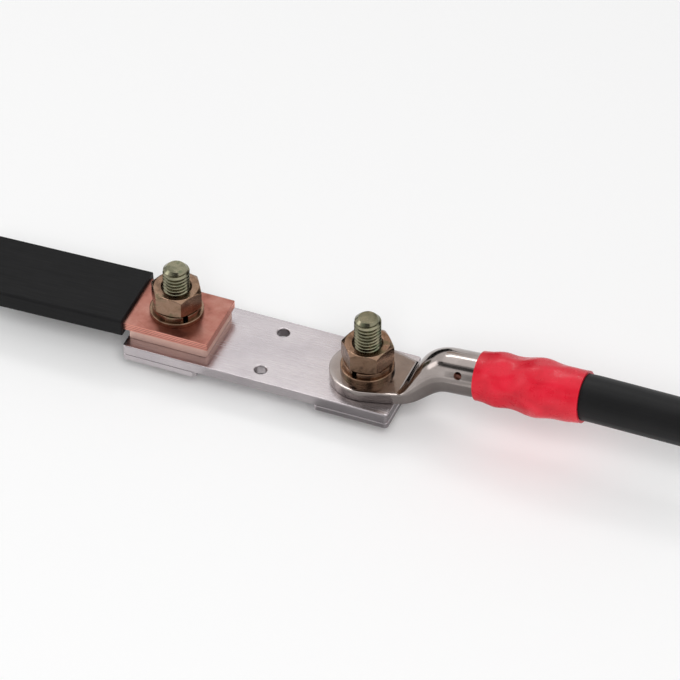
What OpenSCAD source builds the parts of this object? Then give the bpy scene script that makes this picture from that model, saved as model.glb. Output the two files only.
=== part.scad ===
// Bolted splice between a covered flat copper bar and a cable with a crimped lug.
// Millimetres, +Z up. X runs from the bar to the cable, Y across the link plate.
// The origin is the middle of the link plate's underside, between its fixing holes.

/* [Link plate] */
// Length of the link plate
link_l = 104; // [100:1:130]
// Width of the link plate
link_w = 35; // [32:1:45]
// Thickness of the link plate
link_t = 4; // [3:0.5:6]
// Corner radius of the link plate
link_r = 1.5; // [0.5:0.25:4]
// Distance between the two bolts
bolt_span = 75; // [68:1:80]
// Distance between the two fixing holes
fix_span = 22; // [14:1:24]
// Diameter of the fixing holes
fix_d = 4.5; // [3:0.1:6]
// Thickness of the backing plate under each end
back_t = 2.5; // [2:0.5:4]

/* [Bolts] */
// Thread size of the bolts
bolt_d = 10; // [10:0.1:10.4]
// Bolt length under the head
bolt_l = 35; // [30:1:45]
// Width across flats of head and nut
hex_af = 17; // [16:0.5:18]
// Height of the bolt head
head_h = 6.4; // [5:0.1:8]
// Height of the nut
nut_h = 8; // [6:0.1:9]
// Outside diameter of the flat washer
washer_d = 20; // [19:0.5:24]
// Thickness of the flat washer
washer_t = 2; // [1.5:0.1:2.5]
// Outside diameter of the spring washer
spring_d = 18; // [16:0.1:18.5]
// Thickness of the spring washer
spring_t = 2.2; // [1.8:0.1:2.6]
// Turn of the nut on the bar side
bar_nut_turn = 2; // [0:1:59]
// Turn of the nut on the cable side
cable_nut_turn = 11; // [0:1:59]

/* [Flat bar] */
// Width of the copper strips
strip_w = 26.5; // [22:0.5:29]
// Thickness of one copper strip
strip_t = 0.8; // [0.6:0.05:1.2]
// Bare copper past the bolt
bare_past = 17.5; // [14:0.5:19]
// Wall of the black covering
cover_t = 2; // [1.4:0.1:2.4]
// Outside corner radius of the covering
cover_r = 1.2; // [0.6:0.1:1.4]
// Length of the covered part
cover_l = 63; // [40:1:120]
// Downward lean of the covered part
bar_lean = 1.9; // [0.5:0.1:4]
// Thickness of the packing plate under the bar
pack_t = 4; // [3:0.1:6]
// How far the packing plate stands back from the bar's edges
pack_in = 0.7; // [0.3:0.1:1.5]

/* [Lug] */
// Width of the palm
palm_w = 28; // [26:0.5:31]
// Width of the palm where the neck begins
palm_end_w = 21; // [18:0.5:25]
// Thickness of the palm
palm_t = 4.4; // [3.5:0.1:5]
// Length of the neck between palm and barrel
neck_l = 18.5; // [16:0.5:26]
// Height of the barrel axis over the palm's underside at the neck's end
barrel_z = 14; // [11:0.5:18]
// Outside diameter of the barrel
barrel_d = 16.4; // [15:0.1:18]
// Wall of the barrel
barrel_wall = 2.2; // [1.6:0.1:2.6]
// Length of the barrel
barrel_l = 30; // [26:1:40]
// Upward lean of the barrel
barrel_lean = 4.5; // [1:0.5:8]
// Diameter of the inspection hole
peep_d = 3; // [2:0.1:3.5]
// Where the inspection hole sits round the barrel
peep_turn = 60; // [0:5:90]

/* [Cable] */
// Outside diameter of the cable
cable_d = 17.2; // [16.8:0.1:18]
// Length of straight cable past the sleeve
cable_l = 43; // [30:1:90]
// Radius of the cable's slight bend
cable_bend = 70; // [50:5:120]
// Length of the red sleeve
sleeve_l = 40.5; // [36:0.5:48]
// Wall of the red sleeve at its ends
sleeve_wall = 0.9; // [0.6:0.1:1.4]

/* [Hidden] */
$fn = 64;
gap = 0.05;
bolt_hole_d = bolt_d + 1;
washer_hole_d = bolt_d + 0.5;
nut_bore_d = bolt_d + 2 * gap;
chamfer = 1.5;
bolt_x = bolt_span / 2;
end_reach = link_l / 2 - bolt_x;
strip_n = 4;
stack_t = strip_n * strip_t;
bar_low = link_t + pack_t;
bar_top = bar_low + stack_t;
lug_top = link_t + palm_t;

// the covered bar starts just outside the link plate and leans down from there
lean_r = 40;
lean_x = -link_l / 2 + 0.5;
lean_z = bar_low + stack_t / 2 - lean_r;
cover_start = 0.3;

// lug frame: the bolt axis at the link plate's top
palm_flat = end_reach + 0.3;
palm_reach = norm([palm_flat, palm_end_w / 2]);
palm_touch = atan2(palm_end_w / 2, palm_flat) + acos(palm_w / 2 / palm_reach);
neck_x = palm_flat + neck_l;
barrel_r = barrel_d / 2;
bore_r = barrel_r - barrel_wall;
core_r = bore_r - gap;
ring_n = 16;
corner_n = 8;
crimp_at = 0.75 * barrel_l;
crimp_w = 5;
crimp_in = 0.6;

// along the barrel axis from the neck's end
bore_from = 1.5;
core_from = bore_from + 0.4;
peep_at = 4.6;
sleeve_from = 10.5;
jacket_from = barrel_l + 0.8;
bend_at = sleeve_from + sleeve_l + 0.5;
cable_r = cable_d / 2;

tin = "#c9c6c6";
zinc = "#a79c6c";
copper = "#c8785c";
black = "#2b2b2c";
red = "#d8233c";

// plate with rounded corners in plan, centred
module round_plate(l, w, t, r) {
    linear_extrude(height = t)
    union() {
        square([l, w - 2 * r], center = true);
        square([l - 2 * r, w], center = true);
        for (x = [-1, 1])
            for (y = [-1, 1])
                translate([x * (l / 2 - r), y * (w / 2 - r)])
                circle(r = r);
    }
}

module link_plate() {
    color(tin)
    difference() {
        round_plate(link_l, link_w, link_t, link_r);
        for (s = [-1, 1]) {
            translate([s * bolt_x, 0, -1])
            cylinder(h = link_t + 2, d = bolt_hole_d);
            translate([0, s * fix_span / 2, -1])
            cylinder(h = link_t + 2, d = fix_d);
        }
    }
}

// square plate under one end, flush with that end and centred on the bolt
module backing_plate(x) {
    translate([x, 0, -back_t])
    difference() {
        round_plate(2 * end_reach, link_w, back_t, link_r);
        translate([0, 0, -1])
        cylinder(h = back_t + 2, d = bolt_hole_d);
    }
}

module bar_side_backing_plate() {
    color(tin)
    backing_plate(-bolt_x);
}

module cable_side_backing_plate() {
    color(tin)
    backing_plate(bolt_x);
}

// hexagon prism with its corners turned off by a cone at both ends
module hexagon(af, h) {
    corner = af / sqrt(3);
    flat_r = 0.97 * af / 2;
    cut = (corner - flat_r) * tan(30);
    intersection() {
        cylinder(h = h, r = corner, $fn = 6);
        rotate_extrude()
        polygon([
            [0, 0],
            [flat_r, 0],
            [corner, cut],
            [corner, h - cut],
            [flat_r, h],
            [0, h]
        ]);
    }
}

module bolt(x) {
    translate([x, 0, -back_t]) {
        rotate([0, 0, 12])
        translate([0, 0, -head_h])
        hexagon(hex_af, head_h);
        rotate_extrude()
        polygon([
            [0, -1],
            [bolt_d / 2, -1],
            [bolt_d / 2, bolt_l - chamfer],
            [bolt_d / 2 - chamfer, bolt_l],
            [0, bolt_l]
        ]);
    }
}

module bar_side_bolt() {
    color(zinc)
    bolt(-bolt_x);
}

module cable_side_bolt() {
    color(zinc)
    bolt(bolt_x);
}

module flat_washer(x, z) {
    translate([x, 0, z])
    rotate_extrude()
    polygon([
        [washer_hole_d / 2, 0],
        [washer_d / 2, 0],
        [washer_d / 2, washer_t - 0.3],
        [washer_d / 2 - 0.3, washer_t],
        [washer_hole_d / 2, washer_t]
    ]);
}

module bar_side_flat_washer() {
    color(zinc)
    flat_washer(-bolt_x, bar_top);
}

module cable_side_flat_washer() {
    color(zinc)
    flat_washer(bolt_x, lug_top);
}

// split ring pressed flat, with the slit left open
module spring_washer(x, z, turn) {
    translate([x, 0, z])
    rotate([0, 0, turn])
    rotate_extrude(angle = 348)
    translate([washer_hole_d / 2, 0])
    square([(spring_d - washer_hole_d) / 2, spring_t]);
}

module bar_side_spring_washer() {
    color(zinc)
    spring_washer(-bolt_x, bar_top + washer_t, 320);
}

module cable_side_spring_washer() {
    color(zinc)
    spring_washer(bolt_x, lug_top + washer_t, 265);
}

module nut(x, z, turn) {
    sink = 0.7;
    translate([x, 0, z])
    difference() {
        rotate([0, 0, turn])
        hexagon(hex_af, nut_h);
        rotate_extrude()
        polygon([
            [0, -1],
            [nut_bore_d / 2 + sink + 1, -1],
            [nut_bore_d / 2, sink],
            [nut_bore_d / 2, nut_h - sink],
            [nut_bore_d / 2 + sink + 1, nut_h + 1],
            [0, nut_h + 1]
        ]);
    }
}

module bar_side_nut() {
    color(zinc)
    nut(-bolt_x, bar_top + washer_t + spring_t, bar_nut_turn);
}

module cable_side_nut() {
    color(zinc)
    nut(bolt_x, lug_top + washer_t + spring_t, cable_nut_turn);
}

// puts a shape at the end of the bar's short bend, with X along the leaning bar
module leaning() {
    translate([lean_x, 0, lean_z])
    rotate([0, -bar_lean, 0])
    translate([0, 0, lean_r])
    children();
}

// line along the bar at a given height over its middle: past the bolt, round the short
// bend in flats, then on to the cut end
function bar_line(o) =
    let(r = lean_r + o, far = cover_l + cover_start)
    [
        [bare_past - bolt_x, bar_low + stack_t / 2 + o],
        for (i = [0 : 4])
            let(a = bar_lean * i / 4)
            [lean_x - r * sin(a), lean_z + r * cos(a)],
        [
            lean_x - r * sin(bar_lean) - far * cos(bar_lean),
            lean_z + r * cos(bar_lean) - far * sin(bar_lean)
        ]
    ];

// one copper strip: flat on the packing, a short bend, then straight on under the covering
module bar_strip(i) {
    low = i * strip_t - stack_t / 2;
    under = bar_line(low);
    over = bar_line(low + strip_t);
    last = len(over) - 1;
    difference() {
        rotate([90, 0, 0])
        linear_extrude(height = strip_w, center = true)
        polygon(concat(under, [for (k = [0 : last]) over[last - k]]));
        translate([-bolt_x, 0, bar_low - 1])
        cylinder(h = stack_t + 2, d = bolt_hole_d);
    }
}

module bar_strip_1() {
    color(copper)
    bar_strip(0);
}

module bar_strip_2() {
    color(copper)
    bar_strip(1);
}

module bar_strip_3() {
    color(copper)
    bar_strip(2);
}

module bar_strip_4() {
    color(copper)
    bar_strip(3);
}

// copper plate that lifts the bar so that its covering clears the link plate
module bar_packing_plate() {
    left = end_reach - pack_in;
    right = bare_past - pack_in;
    color(copper)
    translate([-bolt_x, 0, link_t])
    difference() {
        translate([(right - left) / 2, 0, 0])
        round_plate(left + right, strip_w - 2 * pack_in, pack_t, 1);
        translate([0, 0, -1])
        cylinder(h = pack_t + 2, d = bolt_hole_d);
    }
}

// outline of the covering: rounded outside, square round the strips
module bar_cover() {
    w = strip_w + 2 * cover_t;
    t = stack_t + 2 * cover_t;
    color(black)
    leaning()
    translate([-cover_start, 0, 0])
    rotate([0, -90, 0])
    difference() {
        round_plate(t, w, cover_l, cover_r);
        translate([0, 0, -1])
        linear_extrude(height = cover_l + 2)
        square([stack_t + 2 * gap, strip_w + 2 * gap], center = true);
    }
}

// puts a shape on the barrel axis, with X along it from the neck's end
module on_barrel() {
    translate([bolt_x + neck_x, 0, link_t + barrel_z])
    rotate([0, -barrel_lean, 0])
    children();
}

// neck path in the lug's own frame: a cubic curve from the palm up to the barrel
neck_a = [palm_flat, palm_t / 2];
neck_b = neck_a + [0.4 * neck_l, 0];
neck_d = [neck_x, barrel_z];
neck_c = neck_d - 0.52 * neck_l * [cos(barrel_lean), sin(barrel_lean)];
function ease(t) = t * t * (3 - 2 * t);
function neck_p(t) =
    pow(1 - t, 3) * neck_a
    + 3 * t * pow(1 - t, 2) * neck_b
    + 3 * t * t * (1 - t) * neck_c
    + t * t * t * neck_d;
function neck_v(t) =
    pow(1 - t, 2) * (neck_b - neck_a)
    + 2 * t * (1 - t) * (neck_c - neck_b)
    + t * t * (neck_d - neck_c);
function neck_angle(t) = atan2(neck_v(t)[1], neck_v(t)[0]);

// half width, half height and corner radius of the neck's section. The width runs on in
// the palm's own taper before it settles to the barrel.
function neck_w(t) =
    palm_end_w / 2
    + (barrel_r - palm_end_w / 2) * ease(t)
    - 1.2 * neck_l / tan(palm_touch) * t * pow(1 - t, 4)
    - gap;
function neck_h(t) = palm_t / 2 + (barrel_r - palm_t / 2) * ease(t) - gap;
function neck_round(t) = min(neck_h(t), 0.6 + (barrel_r - gap - 0.6) * ease(min(1, 1.25 * t)));

// one ring of points: a rounded oblong square to the path, moved along it by shift
function neck_ring(t, shift) =
    let(a = neck_angle(t), p = neck_p(t) + shift * [cos(a), sin(a)])
    let(w = neck_w(t), h = neck_h(t), r = neck_round(t))
    [
        for (q = [0 : 3])
            for (k = [0 : corner_n - 1])
                let(g = q * 90 + (k + 0.5) * 90 / corner_n)
                let(sy = q == 0 || q == 3 ? 1 : -1, sz = q < 2 ? 1 : -1)
                let(y = sy * (w - r) + r * cos(g), z = sz * (h - r) + r * sin(g))
                [p[0] - z * sin(a), y, p[1] + z * cos(a)]
    ];

module neck() {
    m = 4 * corner_n;
    rings = [
        neck_ring(0, -1),
        for (i = [0 : ring_n]) neck_ring(i / ring_n, 0),
        neck_ring(1, 1)
    ];
    last = len(rings) - 1;
    points = [for (ring = rings) each ring];
    sides = [
        for (i = [0 : last - 1])
            for (k = [0 : m - 1])
                let(a = i * m + k, b = i * m + (k + 1) % m)
                each [[a, b + m, b], [a, a + m, b + m]]
    ];
    cap_a = [for (k = [0 : m - 1]) k];
    cap_b = [for (k = [0 : m - 1]) last * m + m - 1 - k];
    polyhedron(points = points, faces = concat(sides, [cap_a, cap_b]), convexity = 4);
}

// tube of the lug from the neck's end to its mouth, with a crimped waist
module barrel() {
    rotate([0, 90, 0])
    rotate_extrude()
    polygon([
        [0, 0],
        [barrel_r, 0],
        [barrel_r, crimp_at - crimp_w / 2],
        [barrel_r - crimp_in, crimp_at - crimp_w / 2 + crimp_in],
        [barrel_r - crimp_in, crimp_at + crimp_w / 2 - crimp_in],
        [barrel_r, crimp_at + crimp_w / 2],
        [barrel_r, barrel_l],
        [0, barrel_l]
    ]);
}

// flat eye round the bolt, with straight sides that touch the circle and run to the neck
module palm() {
    r = palm_w / 2;
    half = palm_end_w / 2;
    touch = r * [cos(palm_touch), sin(palm_touch)];
    linear_extrude(height = palm_t)
    union() {
        circle(r = r);
        polygon([
            [0, 0],
            [touch[0], -touch[1]],
            [palm_flat, -half],
            [palm_flat, half],
            touch
        ]);
    }
}

module cable_lug() {
    color(tin)
    difference() {
        union() {
            translate([bolt_x, 0, link_t]) {
                palm();
                neck();
            }
            on_barrel()
            barrel();
        }
        translate([bolt_x, 0, link_t - 1])
        cylinder(h = palm_t + 2, d = bolt_hole_d);
        on_barrel() {
            translate([bore_from, 0, 0])
            rotate([0, 90, 0])
            cylinder(h = barrel_l, r = bore_r);
            translate([peep_at, 0, 0])
            rotate([peep_turn, 0, 0])
            cylinder(h = barrel_d, d = peep_d);
        }
    }
}

// outside of the sleeve: thin lips, a swell over the barrel, a waist at the crimp and
// a larger swell over the barrel's mouth
function sleeve_swell(u) =
    1.05 * exp(-pow((u - 0.2 * sleeve_l) / (0.11 * sleeve_l), 2))
    + 1.75 * exp(-pow((u - 0.56 * sleeve_l) / (0.16 * sleeve_l), 2))
    + 0.45 * exp(-pow((u - 0.84 * sleeve_l) / (0.12 * sleeve_l), 2));
function sleeve_base(u) = barrel_r + (cable_r - barrel_r) * ease(u / sleeve_l) + sleeve_wall;
sleeve_n = 24;

module lug_sleeve() {
    step_at = jacket_from - sleeve_from - 0.4;
    color(red)
    on_barrel()
    translate([sleeve_from, 0, 0])
    rotate([0, 90, 0])
    rotate_extrude()
    polygon(concat(
        [
            [cable_r + gap, sleeve_l],
            [cable_r + gap, step_at],
            [barrel_r + gap, step_at],
            [barrel_r + gap, 0]
        ],
        [
            for (i = [0 : sleeve_n])
                let(u = sleeve_l * i / sleeve_n)
                [sleeve_base(u) + sleeve_swell(u), u]
        ]
    ));
}

// sends a flat section along the cable: straight, a slight bend, straight again. The
// bend's own section is a hair smaller and runs into both straights, so they join.
module cable_run(from) {
    lap = asin(0.5 / cable_bend);
    on_barrel()
    translate([from, 0, 0])
    rotate([0, 90, 0])
    linear_extrude(height = bend_at - from)
    children();
    on_barrel()
    translate([bend_at, 0, -cable_bend])
    rotate([0, barrel_lean, 0]) {
        rotate([90, 0, 0])
        rotate([0, 0, 90 - lap])
        rotate_extrude(angle = barrel_lean + 2 * lap)
        translate([cable_bend, 0])
        scale(1 - 0.02 / cable_r)
        children();
        translate([0, 0, cable_bend])
        rotate([0, 90, 0])
        linear_extrude(height = cable_l)
        children();
    }
}

// twelve strands round a middle, pressed into one another
module core_section() {
    strand_r = core_r / 4.6;
    union() {
        circle(r = core_r - strand_r);
        for (i = [0 : 11])
            rotate(i * 30)
            translate([core_r - strand_r, 0])
            circle(r = strand_r);
    }
}

module cable_core() {
    color(copper)
    cable_run(core_from)
    core_section();
}

module cable_jacket() {
    color(black)
    cable_run(jacket_from)
    difference() {
        circle(r = cable_r);
        circle(r = core_r + gap);
    }
}

link_plate();
bar_side_backing_plate();
cable_side_backing_plate();
bar_side_bolt();
cable_side_bolt();
bar_side_flat_washer();
cable_side_flat_washer();
bar_side_spring_washer();
cable_side_spring_washer();
bar_side_nut();
cable_side_nut();
bar_strip_1();
bar_strip_2();
bar_strip_3();
bar_strip_4();
bar_packing_plate();
bar_cover();
cable_lug();
lug_sleeve();
cable_core();
cable_jacket();
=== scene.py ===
"""Looks of a bolted splice between a covered flat copper bar and a cable with a crimped lug.

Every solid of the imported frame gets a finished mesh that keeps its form: plates with broken
edges, threaded bolts, stamped washers, a pressed lug, a shrunk sleeve and a stranded cable.
Meshes are made in millimetres and turned to metres when they become pieces.
"""

import logging
import math
from collections.abc import Callable, Iterable, Sequence
from dataclasses import dataclass, replace
from enum import Enum
from typing import NamedTuple

import bmesh
import bpy
from mathutils import Matrix, Vector


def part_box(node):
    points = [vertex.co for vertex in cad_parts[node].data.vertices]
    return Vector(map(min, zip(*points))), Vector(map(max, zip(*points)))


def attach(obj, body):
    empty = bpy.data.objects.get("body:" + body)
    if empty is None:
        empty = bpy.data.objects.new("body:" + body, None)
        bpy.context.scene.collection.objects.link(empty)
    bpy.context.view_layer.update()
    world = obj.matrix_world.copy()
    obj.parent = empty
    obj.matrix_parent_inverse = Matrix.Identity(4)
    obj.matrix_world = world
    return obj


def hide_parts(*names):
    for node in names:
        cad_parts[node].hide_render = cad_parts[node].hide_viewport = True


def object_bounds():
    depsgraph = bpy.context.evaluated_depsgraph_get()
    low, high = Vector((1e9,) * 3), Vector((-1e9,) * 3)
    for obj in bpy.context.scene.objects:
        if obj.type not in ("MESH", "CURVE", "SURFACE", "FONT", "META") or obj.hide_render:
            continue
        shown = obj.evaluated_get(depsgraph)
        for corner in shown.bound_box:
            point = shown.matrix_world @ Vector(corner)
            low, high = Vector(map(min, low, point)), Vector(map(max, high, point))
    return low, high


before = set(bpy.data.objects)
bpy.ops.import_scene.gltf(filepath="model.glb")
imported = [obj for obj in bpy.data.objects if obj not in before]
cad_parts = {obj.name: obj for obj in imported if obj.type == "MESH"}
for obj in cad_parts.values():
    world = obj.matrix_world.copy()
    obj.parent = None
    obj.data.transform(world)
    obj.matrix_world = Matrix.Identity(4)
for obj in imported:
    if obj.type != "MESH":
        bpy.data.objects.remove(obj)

log = logging.getLogger("splice")

Mesh = bmesh.types.BMesh
Vert = bmesh.types.BMVert
Edge = bmesh.types.BMEdge
Face = bmesh.types.BMFace
Tree = bpy.types.NodeTree
Socket = bpy.types.NodeSocket
Place = tuple[float, float, float]
Pair = tuple[float, float]

MM = 0.001
TURN = 2 * math.pi
BODY = "root"
CAD_BOX = [list(corner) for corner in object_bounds()]
# Attribute of the copper strips that marks the faces left by the shears, which are painted
# lighter: partly fresh cut copper, partly a painted highlight.
SHEARED_AND_HIGHLIGHT = "sheared_and_highlight"
# Distances in mm: points that count as one, slivers that go, points that lie on a cut.
NEAR = 0.01
SLIVER = 0.001
ON_CUT = 1e-5
# Exponent of a section that is an ellipse; a higher one is squarer.
ROUND = 2.0
# Numbers of the Mix node's colour sockets, because its other kinds share their names.
MIX_SHARE, MIX_UNDER, MIX_OVER, MIX_RESULT = 0, 6, 7, 2


class Side(Enum):
    """The two bolted ends of the link plate, by the start of their nodes' names."""

    BAR = "bar_side"
    CABLE = "cable_side"


class Joining(Enum):
    """How two closed meshes become one, by the boolean's own names."""

    ADD = "UNION"
    CUT = "DIFFERENCE"


class Slot(Enum):
    """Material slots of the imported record."""

    TIN = "tinned_copper"
    ZINC = "zinc_steel"
    COPPER = "copper"
    BLACK = "black_pvc"
    RED = "red_sleeve"


def linear(colour: str) -> tuple[float, float, float, float]:
    """Turn an sRGB hex colour into linear values.

    Args:
        colour: Colour as "#rrggbb".

    Returns:
        Linear red, green and blue, and an alpha of 1.
    """
    parts = [int(colour[i:i + 2], 16) / 255 for i in (1, 3, 5)]
    made = [c / 12.92 if c <= 0.04045 else ((c + 0.055) / 1.055) ** 2.4 for c in parts]
    return made[0], made[1], made[2], 1.0


def add_node(
    tree: Tree,
    kind: str,
    inputs: dict | None = None,
    links: dict | None = None,
    **settings: object,
) -> bpy.types.Node:
    """Add one node with its settings, input values and incoming links.

    Args:
        tree: Node tree that takes the node.
        kind: Blender's type name of the node.
        inputs: Values by input name or number.
        links: Output sockets by the name or number of the input that they feed.
        settings: Properties of the node itself.

    Returns:
        The new node.
    """
    node = tree.nodes.new(kind)
    for name, value in settings.items():
        setattr(node, name, value)
    for key, value in (inputs or {}).items():
        node.inputs[key].default_value = value
    for key, socket in (links or {}).items():
        tree.links.new(socket, node.inputs[key])
    return node


@dataclass(frozen=True)
class Grain:
    """A pattern of noise on a piece, with the length and width of its marks in mm."""

    length: float
    width: float
    turn_deg: float = 0.0
    detail: float = 3.0
    roughness: float = 0.5
    swirl: float = 0.0

    def draw(self, tree: Tree, place: Socket) -> Socket:
        """Add the pattern to a material.

        Args:
            tree: Node tree that takes the nodes.
            place: Output socket of the Object coordinates, which are in metres.

        Returns:
            The pattern's output socket.
        """
        along = 1 / (self.length * MM)
        across = 1 / (self.width * MM)
        turned = add_node(
            tree, "ShaderNodeMapping",
            inputs={"Rotation": (0.0, 0.0, math.radians(self.turn_deg))},
            links={"Vector": place},
        )
        scaled = add_node(
            tree, "ShaderNodeMapping", inputs={"Scale": (along, across, across)},
            links={"Vector": turned.outputs["Vector"]},
        )
        noise = add_node(
            tree, "ShaderNodeTexNoise",
            inputs={
                "Scale": 1.0, "Detail": self.detail, "Roughness": self.roughness,
                "Distortion": self.swirl,
            },
            links={"Vector": scaled.outputs["Vector"]},
        )
        return noise.outputs["Fac"]


# Lines of rolling and of the die, drawn coarser than real ones so that they show.
ROLLED = Grain(40.0, 0.45)
EXTRUDED = Grain(60.0, 0.45)
CLOUDS = Grain(12.0, 12.0, detail=4.0, roughness=0.6)


@dataclass(frozen=True, kw_only=True)
class Finish:
    """A surface finish, which makes one named material.

    Clouds give the colour its tones, with handling marks across them, and a finer relief
    gives the bump and the roughness.
    """

    name: str
    slot: Slot
    tones: tuple[str, ...]
    stops: tuple[float, ...] = (0.36, 0.62)
    clouds: Grain = CLOUDS
    relief: Grain = ROLLED
    relief_mm: float
    metallic: float = 1.0
    roughness: float
    spread: float = 0.07
    specular: float = 0.5
    mark: str = ""
    marks: Grain = Grain(14.0, 0.3, turn_deg=28.0)
    mark_span: Pair = (0.64, 0.74)
    mark_share: float = 0.5
    # Colour of the faces cut by the shears: fresh copper, and partly a painted highlight.
    edge: str = ""
    relief_span: Pair = (0.3, 0.7)
    bump: float = 0.5

    def material(self) -> bpy.types.Material:
        """Build the material, or find it where an earlier piece has it.

        Returns:
            A node material with one Principled shader.
        """
        made = bpy.data.materials.get(self.name)
        if made:
            return made
        made = bpy.data.materials.new(self.name)
        made.use_nodes = True
        tree = made.node_tree
        tree.nodes.clear()
        place = add_node(tree, "ShaderNodeTexCoord").outputs["Object"]
        relief = self.relief.draw(tree, place)
        rough = add_node(
            tree, "ShaderNodeMapRange",
            inputs={
                "From Min": self.relief_span[0], "From Max": self.relief_span[1],
                "To Min": self.roughness - self.spread, "To Max": self.roughness + self.spread,
            },
            links={"Value": relief},
        )
        bump = add_node(
            tree, "ShaderNodeBump",
            inputs={"Strength": self.bump, "Distance": self.relief_mm * MM},
            links={"Height": relief},
        )
        shader = add_node(
            tree, "ShaderNodeBsdfPrincipled",
            inputs={"Metallic": self.metallic, "Specular IOR Level": self.specular},
            links={
                "Base Color": self.colour(tree, place), "Roughness": rough.outputs["Result"],
                "Normal": bump.outputs["Normal"],
            },
        )
        add_node(
            tree, "ShaderNodeOutputMaterial", links={"Surface": shader.outputs["BSDF"]}
        )
        return made

    def colour(self, tree: Tree, place: Socket) -> Socket:
        """Add the colour's nodes: tone clouds, marks, then lighter cut faces, partly a painted
        highlight.

        Args:
            tree: Node tree that takes the nodes.
            place: Output socket of the Object coordinates.

        Returns:
            The colour's output socket.
        """
        ramp = add_node(
            tree, "ShaderNodeValToRGB", links={"Fac": self.clouds.draw(tree, place)}
        )
        elements = ramp.color_ramp.elements
        while len(elements) < len(self.tones):
            elements.new(1.0)
        for element, stop, tone in zip(elements, self.stops, self.tones):
            element.position = stop
            element.color = linear(tone)
        layers = []
        if self.mark:
            shown = add_node(
                tree, "ShaderNodeMapRange",
                inputs={
                    "From Min": self.mark_span[0], "From Max": self.mark_span[1],
                    "To Max": self.mark_share,
                },
                links={"Value": self.marks.draw(tree, place)},
            )
            layers.append((self.mark, shown.outputs["Result"]))
        # Faces cut by the shears painted lighter: partly fresh copper, partly a painted
        # highlight.
        if self.edge:
            shown = add_node(tree, "ShaderNodeAttribute", attribute_name=SHEARED_AND_HIGHLIGHT)
            layers.append((self.edge, shown.outputs["Fac"]))
        colour = ramp.outputs["Color"]
        for tone, share in layers:
            colour = add_node(
                tree, "ShaderNodeMix", data_type="RGBA", inputs={MIX_OVER: linear(tone)},
                links={MIX_SHARE: share, MIX_UNDER: colour},
            ).outputs[MIX_RESULT]
        return colour


# Copper strip rolled flat, cut, tumbled and plated with tin in a bath: an even, soft silver
# with faint lines along it.
PLATE_TIN = Finish(
    name="tin plated rolled copper", slot=Slot.TIN, tones=("#b8b1b4", "#c3bcbe"),
    mark="#aca5a8", clouds=replace(CLOUDS, length=16.0, width=16.0), relief_mm=0.0012,
    roughness=0.26, spread=0.02,
)
# Copper tube pressed flat at one end, then plated bright: it mirrors light and dark.
LUG_TIN = Finish(
    name="bright tin plated copper tube", slot=Slot.TIN, tones=("#9b928e", "#aba29e"),
    mark="#8c837f", relief_mm=0.002, roughness=0.15, spread=0.03,
)
# Rolled thread and forged head, zinc plated and passivated: a pale yellow-green shine that
# drifts in hue. The zinc's crystal grain is drawn coarser than it is, so that it shows.
BOLT_ZINC = Finish(
    name="pale passivated zinc", slot=Slot.ZINC,
    tones=("#62614f", "#807e69", "#8e8973", "#6c725b"), stops=(0.32, 0.45, 0.56, 0.68),
    clouds=Grain(5.0, 5.0, swirl=0.5), relief=Grain(0.4, 0.4, swirl=0.4), relief_mm=0.006,
    roughness=0.2, spread=0.06,
)
# Cold formed nuts and stamped washers, passivated longer: the same in brown-yellow.
NUT_ZINC = replace(
    BOLT_ZINC, name="brown passivated zinc",
    tones=("#6b5547", "#8a6f5b", "#957966", "#786b55"), roughness=0.22,
)
# Copper rolled to thin strip and drawn to wire, left bare: a cloudy brown skin of oxide,
# and lighter on the faces cut by the shears: partly fresh copper, partly a painted highlight.
COPPER = Finish(
    name="bare rolled copper", slot=Slot.COPPER, tones=("#865348", "#a06a5e", "#ae7e72"),
    stops=(0.3, 0.46, 0.66), mark="#7d483b", edge="#e69f8f",
    clouds=replace(CLOUDS, length=8.0, width=8.0), relief=Grain(25.0, 0.35),
    relief_mm=0.005, roughness=0.33, spread=0.05,
)
# Copper plate sawn off a bar and scoured clean: pale pink and matt.
CLEAN_COPPER = Finish(
    name="scoured copper", slot=Slot.COPPER, tones=("#f2cdc0", "#f9d7ca"), mark="#e2b5a6",
    relief_mm=0.003, roughness=0.58, spread=0.05,
)
# PVC extruded flat round the strips: black, and matt from the die.
COVER_PVC = Finish(
    name="black extruded PVC", slot=Slot.BLACK, tones=("#0c0c0d", "#111112"),
    stops=(0.35, 0.7), mark="#161617", relief=EXTRUDED, relief_mm=0.006, metallic=0.0,
    roughness=0.6, specular=0.2,
)
# PVC extruded round the conductor: black, with a little more sheen.
CABLE_PVC = replace(
    COVER_PVC, name="black cable PVC", tones=("#0b0b0c", "#101011"), mark="#151516",
    roughness=0.5, specular=0.25,
)
# Red tube shrunk with hot air over the crimps: a bright red with soft, uneven highlights.
RED_SLEEVE = Finish(
    name="red shrunk sleeve", slot=Slot.RED, tones=("#c61128", "#d2172d", "#dc2036"),
    stops=(0.3, 0.48, 0.68), clouds=Grain(8.0, 8.0, swirl=0.5),
    relief=Grain(2.2, 2.2, swirl=0.4), relief_mm=0.07, metallic=0.0, roughness=0.3,
    spread=0.06, specular=0.35,
)


@dataclass(frozen=True)
class Box:
    """A box in millimetres."""

    low: Vector
    high: Vector

    @classmethod
    def of(cls, node: str) -> "Box":
        """Read a node's box from the frame."""
        low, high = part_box(node)
        return cls(low / MM, high / MM)

    @property
    def centre(self) -> Vector:
        """Middle of the box."""
        return (self.low + self.high) / 2

    @property
    def size(self) -> Vector:
        """Lengths of the box's sides."""
        return self.high - self.low


class Hole(NamedTuple):
    """A round hole along Z, with its middle and radius in millimetres."""

    x: float
    y: float
    radius: float


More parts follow.
